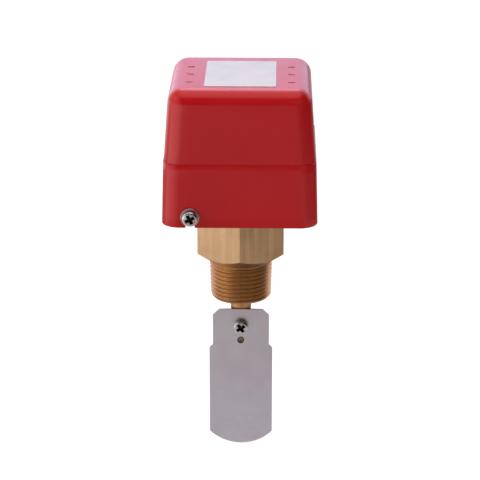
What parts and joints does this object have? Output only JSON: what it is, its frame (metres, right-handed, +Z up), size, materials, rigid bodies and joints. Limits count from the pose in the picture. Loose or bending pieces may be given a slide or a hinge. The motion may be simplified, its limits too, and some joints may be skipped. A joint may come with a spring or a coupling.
{
  "type": "paddle flow switch",
  "caption": "Paddle flow switch: moulded cover over a lever and snap switch, hexagonal brass body with pipe thread, and a sheet paddle on a swinging arm.",
  "frame": {"origin": "on the pipe thread's axis, where the thread meets the cone of the hexagon", "axes": "+Z up along the thread's axis towards the cover, +Y to the back where the cable comes in, +X to the right seen from the front"},
  "size_m": [0.081, 0.0932, 0.2123],
  "materials": {
    "cover_plastic": "glossy moulded",
    "label": "satin",
    "brass": "machined",
    "bellows_metal": "satin",
    "paddle_steel": "satin",
    "plated_steel": "zinc plated",
    "fastener_steel": "nickel plated",
    "spring_steel": "bright",
    "gasket_rubber": "matte",
    "spacer_nylon": "satin",
    "switch_phenolic": "satin",
    "plunger_red": "satin",
    "terminal_brass": "nickel free, bright"
  },
  "bodies": {
    "base": {"brass_body": "brass", "bellows_ring": "brass", "bellows": "bellows_metal", "base_tray": "plated_steel", "pivot_yoke": "plated_steel", "adjuster_bracket": "plated_steel", "switch_bracket": "plated_steel", "cover_plain_washers": "fastener_steel", "cover_spring_washers": "fastener_steel", "cover_screws": "fastener_steel", "yoke_screws": "fastener_steel", "bracket_screws": "fastener_steel", "switch_mounting_screws": "fastener_steel", "switch_mounting_nuts": "fastener_steel", "earth_screw": "fastener_steel", "range_spring": "spring_steel", "body_gasket": "gasket_rubber", "cover_seal": "gasket_rubber", "cable_grommet": "gasket_rubber", "switch_case": "switch_phenolic", "switch_lid": "switch_phenolic", "terminal_closed": "terminal_brass", "terminal_open": "terminal_brass", "terminal_common": "terminal_brass", "terminal_screws": "terminal_brass", "earth_clamp": "terminal_brass"},
    "arm": {"paddle_arm": "brass", "paddle": "paddle_steel", "paddle_screw": "fastener_steel", "paddle_spring_washer": "fastener_steel", "locating_pin": "brass", "lever_block": "brass", "pivot_pin": "fastener_steel", "pivot_spacers": "spacer_nylon", "pivot_clips": "fastener_steel", "actuator_lever": "plated_steel", "lever_washer": "fastener_steel", "lever_nut": "fastener_steel", "bellows_collar": "brass"},
    "cover": {"cover": "cover_plastic", "label_plate": "label"},
    "adjuster": {"adjusting_screw": "fastener_steel", "adjusting_clip": "fastener_steel"},
    "seat": {"spring_seat": "brass"},
    "plunger": {"switch_plunger": "plunger_red"}
  },
  "joints": [
    {"name": "arm_swing", "type": "hinge", "parent": "base", "child": "arm", "pos_m": [0, 0, 0.05], "axis": [1, 0, 0], "range_deg": [0, 4.5], "stiffness_Nm_per_rad": 0.6, "springref_deg": -5.73, "deforming": ["bellows"]},
    {"name": "cover_lift", "type": "slide", "parent": "base", "child": "cover", "axis": [0, 0, 1], "range_m": [0, 0.08]},
    {"name": "adjuster_turn", "type": "hinge", "parent": "base", "child": "adjuster", "pos_m": [0, -0.024, 0.06], "axis": [0, 0, 1], "range_deg": [-1800, 0]},
    {"name": "seat_lift", "type": "slide", "parent": "base", "child": "seat", "axis": [0, 0, 1], "range_m": [0, 0.004], "deforming": ["range_spring"]},
    {"name": "plunger_press", "type": "slide", "parent": "base", "child": "plunger", "axis": [0, 0, 1], "range_m": [0, 0.0014]}
  ],
  "couplings": [
    {"joint": "adjuster_turn", "follows": "seat_lift", "rad_per_m": -7854},
    {"joint": "plunger_press", "follows": "arm_swing", "m_per_rad": 0.017}
  ]
}
